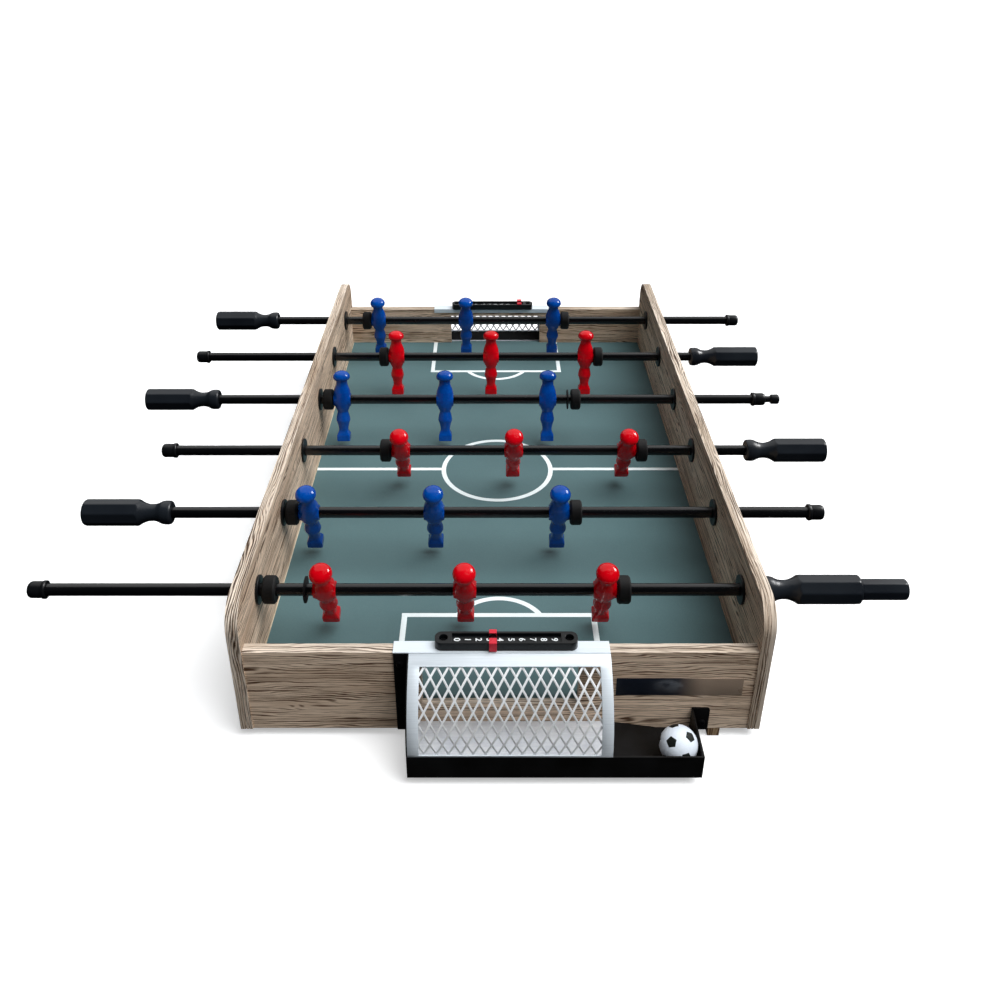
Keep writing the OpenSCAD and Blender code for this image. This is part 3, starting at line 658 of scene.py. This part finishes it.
def make_ball():
    low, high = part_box("ball")
    centre, radius = (low + high) / 2, (high.z - low.z) / 2
    patches = patch_centres()
    patch_r, seam_w, seam_d = math.radians(17.2), 0.35 * MM, 0.10 * MM
    mesh = bmesh.new()
    bmesh.ops.create_icosphere(mesh, subdivisions=6, radius=1)
    neighbours = [(a, b) for i, a in enumerate(patches) for b in patches[i + 1:] if a.dot(b) > 0.4]
    points = np.array([v.co.normalized() for v in mesh.verts])
    dip = np.zeros(len(points))
    for a, b in neighbours:
        normal = np.array(a.cross(b).normalized())
        middle = np.array((a + b).normalized())
        off = np.abs(points @ normal) * radius
        on_arc = (points @ middle) > math.cos(math.radians(31.7) - patch_r)
        dip = np.maximum(dip, np.where(on_arc, np.exp(-(off / seam_w) ** 2), 0))
    for v, p, d in zip(mesh.verts, points, dip):
        v.co = centre + Vector(p) * (radius - 0.05 * MM - seam_d * d)
    sphere = [tuple(v.co) for v in mesh.verts], [tuple(v.index for v in f.verts) for f in mesh.faces]
    mesh.free()
    sphere_piece = add_mesh("ball_shell", *sphere, BALL_WHITE)
    place(sphere_piece, "ball", "ball_plastic", "ball")
    parts = []
    for k, p in enumerate(patches):
        others = [q for q in patches if 0.4 < q.dot(p) < 0.9]
        beside = (others[0] - p * others[0].dot(p)).normalized()
        third = p.cross(beside)
        rings = []
        for share, r in ((0.97, radius - 0.5 * MM), (1, radius - 0.06 * MM), (0.97, radius), (0.8, radius),
                         (0.6, radius), (0.4, radius), (0.2, radius), (0.05, radius)):
            ring = []
            for j in range(60):
                t = 2 * math.pi * j / 60
                fold = (t % math.radians(72)) - math.radians(36)
                reach = patch_r * share * math.cos(math.radians(36)) / math.cos(fold)
                sideways = math.cos(t) * beside + math.sin(t) * third
                direction = math.cos(reach) * p + math.sin(reach) * sideways
                ring.append(tuple(centre + direction * r))
            rings.append(ring)
        parts.append(loft(rings))
    verts, faces = joined(parts)
    place(add_mesh("ball_patches", verts, faces, BALL_BLACK), "ball", "ball_plastic")


# ---------- scorers ----------

DIGIT_ZERO, DIGIT_PITCH, RECESS = -30.9 * MM, 7.74 * MM, 2.2 * MM


def digit_part(digit):
    """Points and faces of a raised digit, lying flat and centred on the origin."""
    curve = bpy.data.curves.new("digit", "FONT")
    curve.body = str(digit)
    curve.size = 6.4 * MM
    curve.extrude = 0.08 * MM
    curve.offset = 0.07 * MM
    curve.resolution_u = 6
    text = bpy.data.objects.new("digit", curve)
    bpy.context.scene.collection.objects.link(text)
    bpy.context.view_layer.update()
    mesh = text.to_mesh()
    points = np.array([v.co for v in mesh.vertices])
    points[:, :2] -= (points[:, :2].min(0) + points[:, :2].max(0)) / 2
    faces = [tuple(f.vertices) for f in mesh.polygons]
    text.to_mesh_clear()
    bpy.data.objects.remove(text)
    return [tuple(p) for p in points], faces


def make_scorer(end):
    node = end + "_scorer"
    dress(PLASTIC_BLACK, node)
    soften(node, 0.4 * MM)
    low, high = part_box("near_scorer")
    parts = []
    for digit in range(10):
        spot = Vector((DIGIT_ZERO + digit * DIGIT_PITCH, (low.y + high.y) / 2, high.z - RECESS + 0.05 * MM))
        turn = Matrix.Rotation(math.radians(-90), 4, "Z")
        parts.append(moved(digit_part(digit), Matrix.Translation(spot) @ turn))
    verts, faces = joined(parts)
    if end == "far":
        verts = [(-x, -y, z) for x, y, z in verts]
    place(add_mesh(end + "_score_digits", verts, faces, DIGIT_WHITE), "table", "ball_plastic")
    dress(MARKER_RED, end + "_score_marker")
    soften(end + "_score_marker", 0.35 * MM)


# ---------- rods ----------

def rod_axis(n):
    """The middle player's place on a rod's axis."""
    return Vector(JOINTS[f"rod{n}_spin"]["pos_m"])


def rod_turn(n):
    """How far a rod is turned about X at rest, from the direction of its players' soles."""
    axis = rod_axis(n)
    points = np.array([v.co for v in frame["nodes"][f"rod{n}_men"].data.vertices]) - np.array(axis)
    reach = np.hypot(points[:, 1], points[:, 2])
    soles = points[reach > reach.max() - 0.1 * MM]
    return math.atan2(soles[:, 1].mean(), -soles[:, 2].mean())


def on_rod(n, x):
    """The transform from a rod's own frame to the table, at a distance along the rod."""
    axis = rod_axis(n)
    return Matrix.Translation((x, axis.y, axis.z)) @ Matrix.Rotation(rod_turn(n), 4, "X")


def between(stops, z):
    """Interpolated values at a height, from (height, values...) stops listed downwards."""
    for upper, lower in zip(stops, stops[1:]):
        if lower[0] <= z <= upper[0]:
            share = (upper[0] - z) / max(upper[0] - lower[0], 1e-9)
            return [a + (b - a) * share for a, b in zip(upper[1:], lower[1:])]
    return list(stops[-1][1:])


def player_sections():
    """A player's sections downwards, in mm: height, half width, half depth, squareness."""
    top, rim, rim_r, under, neck_r = 30.8, 24.4, 8.75, 4.6, 5.9
    head = []
    for k in range(1, 15):
        t = math.radians(90 * k / 14)
        r = rim_r * math.sin(t) ** 0.9
        head.append((rim + (top - rim) * math.cos(t), r, r, 2))
    for k in range(1, 9):
        r = rim_r + (neck_r - rim_r) * (k / 8) ** 1.6
        head.append((rim - under * math.sqrt(1 - (r / rim_r) ** 2), r, r, 2))
    torso = [(17.6, 5.75, 5.75, 2), (15.6, 6.1, 6.0, 2), (14.4, 6.6, 6.3, 2.1), (11.6, 7.6, 7.0, 2.2),
             (8.8, 8.45, 7.6, 2.3), (5.5, 8.75, 7.9, 2.3), (0.0, 8.8, 8.0, 2.3), (-4.0, 8.6, 7.8, 2.3),
             (-7.5, 7.7, 7.1, 2.2), (-10.6, 6.3, 6.0, 2.1), (-12.4, 5.55, 5.4, 2), (-13.0, 5.5, 5.35, 2)]
    legs = [(-14.0, 5.7, 5.5, 2), (-17.0, 6.5, 6.1, 2), (-20.0, 7.1, 6.6, 2), (-21.4, 7.25, 6.75, 2),
            (-22.6, 7.2, 6.7, 2), (-23.8, 6.8, 6.4, 2), (-26.5, 5.9, 5.6, 2), (-30.0, 5.1, 4.9, 2.2),
            (-32.6, 4.85, 4.5, 2.6), (-34.0, 5.0, 4.4, 4), (-35.6, 5.6, 4.7, 8), (-37.6, 6.5, 5.3, 12),
            (-38.2, 6.68, 5.5, 14), (-38.8, 6.7, 5.5, 16), (-43.9, 6.7, 5.5, 16), (-44.35, 6.55, 5.35, 10),
            (-44.5, 6.2, 5.0, 8)]
    return head + torso + legs


HUB_R, HUB_HALF = 6.5, 8.8


def player_part(count=64):
    """One player about its rod's axis, head up, as a skin whose sections also take in the round hub.

    The hub's radius and half length are in mm."""
    stops = player_sections()
    heights = set()
    for upper, lower in zip(stops, stops[1:]):
        steps = max(1, round((upper[0] - lower[0]) / 0.6))
        heights.update(upper[0] + (lower[0] - upper[0]) * k / steps for k in range(steps + 1))
    rings = []
    for z in sorted(heights):
        half_w, half_d, square = between(stops, z)
        chord = math.sqrt(max(HUB_R ** 2 - z ** 2, 0))
        ring = []
        for k in range(count):
            t = 2 * math.pi * (k + 0.5) / count
            c, s = math.cos(t), math.sin(t)
            r = (abs(c / half_w) ** square + abs(s / half_d) ** square) ** (-1 / square)
            if chord > 0.4:
                hub = (abs(c / HUB_HALF) ** 14 + abs(s / chord) ** 14) ** (-1 / 14)
                r = (r ** 12 + hub ** 12) ** (1 / 12)
                r = min(r, HUB_HALF / max(abs(c), 1e-6))
            ring.append((r * c * MM, r * s * MM, z * MM))
        rings.append(ring)
    return loft(rings)


def make_players():
    part = player_part()
    for n in RODS:
        low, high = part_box(f"rod{n}_men")
        middle = (low.x + high.x) / 2
        pitch = (high.x - low.x) / 2 - HUB_HALF * MM
        copies = [moved(part, on_rod(n, middle + k * pitch)) for k in (-1, 0, 1)]
        material, slot = (RED_PLASTIC, "red_team") if n in RED_RODS else (BLUE_PLASTIC, "blue_team")
        verts, faces = joined(copies)
        place(add_mesh(f"rod{n}_players", verts, faces, material, 42), f"rod{n}", slot, f"rod{n}_men")


def octagon_reach(angle, flat, rounding):
    """Distance to an octagon's outline at an angle, with trimmed corners."""
    fold = (angle + math.radians(22.5)) % math.radians(45) - math.radians(22.5)
    return min(flat / math.cos(fold), flat / math.cos(math.radians(22.5)) - rounding)


def grip_part(profile, flat, rounding, count=128):
    """A turned shape cut to an octagon, along +X; profile holds (distance, radius) pairs."""
    rings = []
    for x, r in profile:
        ring = []
        for k in range(count):
            t = 2 * math.pi * k / count
            reach = min(r, octagon_reach(t, flat, rounding))
            ring.append((x, reach * math.cos(t), reach * math.sin(t)))
        rings.append(ring)
    return loft(rings)


def smooth_profile(stops, step):
    """Points along a smooth curve through (distance, radius) stops."""
    xs, rs = zip(*stops)
    made = []
    for i in range(len(stops) - 1):
        count = max(1, round((xs[i + 1] - xs[i]) / step))
        r0 = rs[max(i - 1, 0)]
        r3 = rs[min(i + 2, len(rs) - 1)]
        for k in range(count):
            t = k / count
            a, b = rs[i], rs[i + 1]
            slope_a, slope_b = (b - r0) / 2, (r3 - a) / 2
            r = ((2 * t ** 3 - 3 * t ** 2 + 1) * a + (t ** 3 - 2 * t ** 2 + t) * slope_a
                 + (-2 * t ** 3 + 3 * t ** 2) * b + (t ** 3 - t ** 2) * slope_b)
            made.append((xs[i] + (xs[i + 1] - xs[i]) * t, r))
    return made + [stops[-1]]


def rounded_end(x, r, radius, steps=6):
    """(distance, radius) pairs that round a turned shape's end at x."""
    return [(x - radius + radius * math.sin(math.radians(90 * k / steps)),
             r - radius + radius * math.cos(math.radians(90 * k / steps))) for k in range(1, steps + 1)]


def make_handle(n):
    low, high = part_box(f"rod{n}_handle")
    side = 1 if (low.x + high.x) / 2 > rod_axis(n).x else -1
    inner = low.x if side > 0 else high.x
    length = high.x - low.x
    flat, end_r = 10.75 * MM, 3 * MM
    corner = flat / math.cos(math.radians(22.5))
    neck = [(0.0, 8.6), (0.5, 9.4), (1.5, 10.0), (5.5, 10.15), (8.5, 9.6), (10.5, 8.6), (13.0, 7.6),
            (17.0, 7.2), (21.0, 7.7), (25.0, 9.3), (28.5, 11.4), (30.5, 12.8)]
    profile = smooth_profile([(x * MM, r * MM) for x, r in neck], 0.5 * MM)
    profile += [(x * MM, corner + MM) for x in (31, 36, 42, 48, 54, 60, 66, 71)]
    profile += [(length - end_r, corner - 0.2 * MM)] + rounded_end(length, corner - 0.2 * MM, end_r)
    matrix = on_rod(n, inner)
    if side < 0:
        matrix = matrix @ Matrix.Rotation(math.pi, 4, "Z")
    part = moved(grip_part(profile, flat, 0.15 * MM), matrix @ Matrix.Rotation(math.radians(22.5), 4, "X"))
    verts, faces = part
    grip = add_mesh(f"rod{n}_grip", verts, faces, HANDLE_BLACK, 28)
    place(grip, f"rod{n}", "handle_plastic", f"rod{n}_handle")


def make_handle_tip():
    """The slim grip on the end of the first rod's handle."""
    low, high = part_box("rod1_handle_tip")
    length, flat, end_r = high.x - low.x, 7.75 * MM, 3.2 * MM
    corner = flat / math.cos(math.radians(22.5))
    profile = [(0, corner - 0.8 * MM), (0.6 * MM, corner - 0.2 * MM), (1.2 * MM, corner + 0.5 * MM)]
    profile += [(length * k / 8, corner + 0.5 * MM) for k in range(1, 8)]
    profile += [(length - end_r, corner - 0.1 * MM)] + rounded_end(length, corner - 0.1 * MM, end_r)
    matrix = on_rod(1, low.x) @ Matrix.Rotation(math.radians(22.5), 4, "X")
    verts, faces = moved(grip_part(profile, flat, 0.12 * MM), matrix)
    grip = add_mesh("rod1_slim_grip", verts, faces, HANDLE_BLACK, 28)
    place(grip, "rod1", "handle_plastic", "rod1_handle_tip")


def turned_part(profile, count=48):
    """A turned shape along +X from (distance, radius) pairs."""
    turn = Matrix.Rotation(math.radians(90), 4, "Y")
    return moved(loft(lathe_rings(profile, count)), turn)


def make_end_cap(n):
    low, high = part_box(f"rod{n}_end_cap")
    side = -1 if (low.x + high.x) / 2 < rod_axis(n).x else 1
    inner = low.x if side > 0 else high.x
    length = high.x - low.x
    lip_r, cap_r, dome = 7.0 * MM, 6.4 * MM, 3.2 * MM
    profile = [(0, 5.2 * MM), (0.05 * MM, lip_r - 0.5 * MM), (0.5 * MM, lip_r), (2.4 * MM, lip_r),
               (2.9 * MM, lip_r - 0.3 * MM), (3.2 * MM, cap_r - 0.25 * MM), (3.8 * MM, cap_r),
               (8 * MM, cap_r)]
    profile += [(length - dome, cap_r)] + rounded_end(length, cap_r, dome)
    matrix = on_rod(n, inner)
    if side < 0:
        matrix = matrix @ Matrix.Rotation(math.pi, 4, "Z")
    verts, faces = moved(turned_part(profile), matrix)
    place(add_mesh(f"rod{n}_cap", verts, faces, CAP_BLACK), f"rod{n}", "black_rubber", f"rod{n}_end_cap")


def make_end_knob():
    """The small knob on its stub at the capped end of the fourth rod."""
    low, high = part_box("rod4_end_knob")
    length = high.x - low.x
    stub = ((0, 3.3), (3.4, 3.2), (5.0, 3.3), (5.7, 4.2), (6.4, 4.9), (9, 5.0))
    knob_r, dome = 5 * MM, 2 * MM
    profile = [(x * MM, r * MM) for x, r in stub]
    profile += [(length - dome, knob_r)] + rounded_end(length, knob_r, dome)
    verts, faces = moved(turned_part(profile), on_rod(4, low.x))
    place(add_mesh("rod4_knob", verts, faces, CAP_BLACK), "rod4", "black_rubber", "rod4_end_knob")


def make_rods():
    for n in RODS:
        dress(ROD_BLACK, f"rod{n}_tube")
        dress(RUBBER, f"rod{n}_bumpers")
        make_handle(n)
        make_end_cap(n)
    dress(RUBBER, "rod1_loose_bumper", "rod1_washer", "rod4_washer")
    make_handle_tip()
    make_end_knob()
    make_players()


# ---------- camera, floor and light ----------

def make_camera():
    """The camera of a product view from the near end, above the goal."""
    camera = bpy.data.cameras.new("camera")
    camera.sensor_width = 36
    camera.lens = 33.96
    camera.shift_x = 0.012
    camera.shift_y = -0.1356
    obj = bpy.data.objects.new("camera", camera)
    bpy.context.scene.collection.objects.link(obj)
    obj.location = (-0.00758, -0.80548, 0.53476)
    obj.rotation_euler = (math.radians(90 - 27.255), math.radians(0.073), math.radians(0.074))
    bpy.context.scene.camera = obj


def add_light(name, kind, spot, **values):
    """A light that shines from a spot towards the table."""
    light = bpy.data.lights.new(name, kind)
    for key, value in values.items():
        setattr(light, key, value)
    obj = bpy.data.objects.new(name, light)
    bpy.context.scene.collection.objects.link(obj)
    obj.location = spot
    obj.rotation_euler = Vector(spot).to_track_quat("Z", "Y").to_euler()
    return obj


def make_floor():
    """A pale floor that lights nothing and shows in no reflection."""
    reach = 40
    signs = ((-1, -1), (1, -1), (1, 1), (-1, 1))
    corners = [(x * reach, y * reach, GROUND_Z) for x, y in signs]
    white = finish_coat("floor_white", linear(236, 237, 238), linear(240, 241, 242), (0.7, 0.8), 40,
                        0.01 * MM, Specular_IOR_Level=0.1, Emission_Color=(1, 1, 1, 1),
                        Emission_Strength=0.4)
    floor = add_mesh("floor", corners, [(0, 1, 2, 3)], white)
    floor.visible_diffuse = False
    floor.visible_glossy = False


def make_dome():
    """A world that is bright overhead, dim below and brighter on the right, and isn't seen in gloss."""
    levels = ((0.0, 0.06), (0.46, 0.08), (0.56, 0.16), (1.0, 0.40))
    slope, middle = 0.45, 0.92
    world = bpy.data.worlds.new("studio")
    world.use_nodes = True
    tree = world.node_tree
    direction = tree.nodes.new("ShaderNodeTexCoord")
    parts = tree.nodes.new("ShaderNodeSeparateXYZ")
    span = tree.nodes.new("ShaderNodeMapRange")
    span.inputs["From Min"].default_value = -1
    dome = tree.nodes.new("ShaderNodeValToRGB")
    while len(dome.color_ramp.elements) < len(levels):
        dome.color_ramp.elements.new(0.5)
    for element, (position, level) in zip(dome.color_ramp.elements, levels):
        element.position = position
        element.color = (level * 0.97, level * 0.985, level, 1)
    slant = tree.nodes.new("ShaderNodeMath")
    slant.operation = "MULTIPLY_ADD"
    slant.inputs[1].default_value = slope
    slant.inputs[2].default_value = middle
    background = tree.nodes["Background"]
    tree.links.new(direction.outputs["Generated"], parts.inputs[0])
    tree.links.new(parts.outputs["Z"], span.inputs["Value"])
    tree.links.new(span.outputs["Result"], dome.inputs["Fac"])
    tree.links.new(dome.outputs["Color"], background.inputs["Color"])
    tree.links.new(parts.outputs["X"], slant.inputs[0])
    tree.links.new(slant.outputs[0], background.inputs["Strength"])
    bpy.context.scene.world = world
    world.cycles_visibility.glossy = False


def make_lights():
    """A wide soft light from above on the right, and two panels that only show in glossy surfaces."""
    overhead = add_light("overhead", "SUN", (0.45, -0.13, 1), energy=3.6, angle=math.radians(50))
    overhead.visible_glossy = False
    panels = (("bright_wall", (0, 1.6, 2.2), 5, 4.4, 68), ("softbox", (1.9, 0.7, 1.45), 0.9, 0.9, 60))
    for name, spot, width, height, power in panels:
        panel = add_light(name, "AREA", spot, shape="RECTANGLE", size=width, size_y=height, energy=power)
        panel.visible_diffuse = False
        panel.visible_camera = False


make_camera()
make_floor()
make_dome()
make_lights()
make_cabinet()
make_pitch_lines()
make_field_edge()
make_name_plate()
make_goals()
make_ball()
for end in ENDS:
    make_scorer(end)
make_screws("scorer_screws", 1.6 * MM)
make_rods()
bpy.context.scene.view_settings.view_transform = "Standard"
